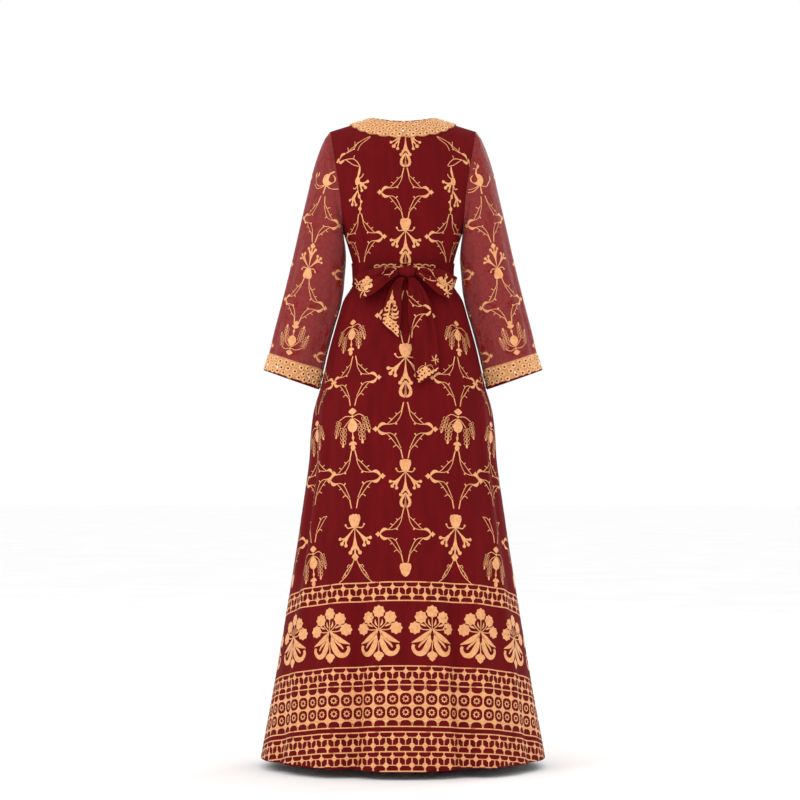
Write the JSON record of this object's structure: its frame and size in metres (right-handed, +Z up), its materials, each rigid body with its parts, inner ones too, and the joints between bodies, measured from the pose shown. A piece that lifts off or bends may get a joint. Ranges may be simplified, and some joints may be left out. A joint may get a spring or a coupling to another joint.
{
  "type": "kaftan",
  "caption": "Full-length belted kaftan in worn form with wide sleeves, a round neck band, an A-line skirt and a sash tied in a bow at the back.",
  "frame": {"origin": "midway between the two neck points on the line of the shoulders, where the wearer holds the garment up", "axes": "+Z up along the garment to the neck, +Y out of the back where the bow is, +X to the wearer's left"},
  "size_m": [0.624, 0.5424, 1.4061],
  "materials": {
    "printed_cloth": "matt maroon polyester crepe with a printed gold pattern",
    "sheer_cloth": "sheer crinkled maroon organza with a printed gold pattern",
    "sash_cloth": "matt maroon polyester crepe, softly gathered",
    "gold_trim": "gold embroidered eyelet band with small clear stones"
  },
  "bodies": {
    "root": {"bodice_back": "printed_cloth", "bodice_front": "printed_cloth", "skirt_back": "printed_cloth", "skirt_front": "printed_cloth", "neck_band": "gold_trim", "sleeve_left": "sheer_cloth", "sleeve_right": "sheer_cloth", "cuff_left": "gold_trim", "cuff_right": "gold_trim", "belt": "sash_cloth", "bow_knot": "sash_cloth", "bow_loop_left": "sash_cloth", "bow_loop_right": "sash_cloth", "bow_tail_left": "sash_cloth", "bow_tail_right": "sash_cloth"}
  },
  "joints": []
}
